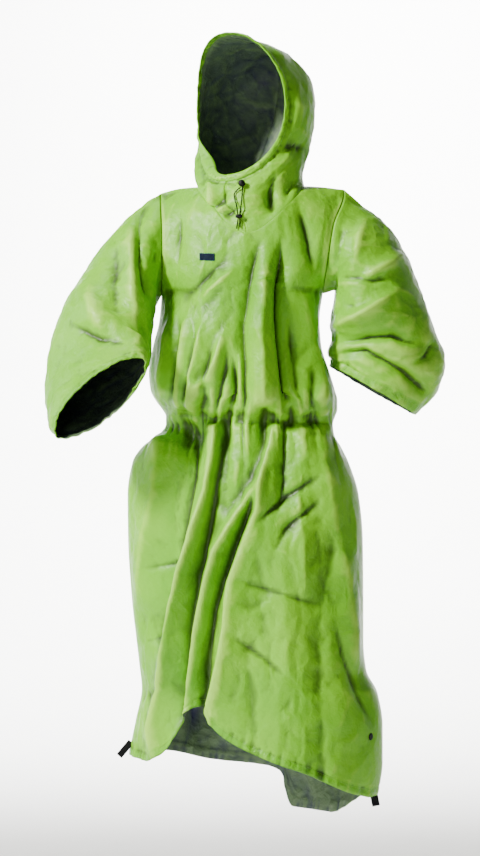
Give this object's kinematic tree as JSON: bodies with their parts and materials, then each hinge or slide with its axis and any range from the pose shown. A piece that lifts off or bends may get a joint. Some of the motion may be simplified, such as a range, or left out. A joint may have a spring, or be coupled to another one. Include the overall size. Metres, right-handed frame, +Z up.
{
  "type": "hooded rain poncho",
  "caption": "Hooded rain poncho of coated nylon in the hollow shape it has when worn: wide short sleeves, face opening with drawcord, gathered waist, back longer than the front.",
  "frame": {"origin": "the middle of the neck base, where the garment is held up when it is worn", "axes": "+Z up, +X towards the garment's left side, -Y towards its front"},
  "size_m": [0.6986, 0.4221, 1.4042],
  "materials": {
    "coated_nylon": "lime green coated nylon with a soft sheen and fine crinkles, greyish green coating inside",
    "woven_label": "dark blue woven patch, blank",
    "black_plastic": "satin black plastic",
    "black_cord": "thin braided black cord",
    "black_webbing": "matt woven black webbing"
  },
  "bodies": {
    "root": {"front_panel": "coated_nylon", "back_panel": "coated_nylon", "sleeve_right": "coated_nylon", "sleeve_left": "coated_nylon", "hood_left": "coated_nylon", "hood_right": "coated_nylon", "face_channel": "coated_nylon", "label": "woven_label", "snap_left": "black_plastic", "stopper": "black_plastic", "cord_toggle": "black_plastic", "cord_right": "black_cord", "cord_left": "black_cord", "cord_tail_right": "black_cord", "cord_tail_left": "black_cord", "tab_right": "black_webbing", "tab_left": "black_webbing"}
  },
  "joints": []
}
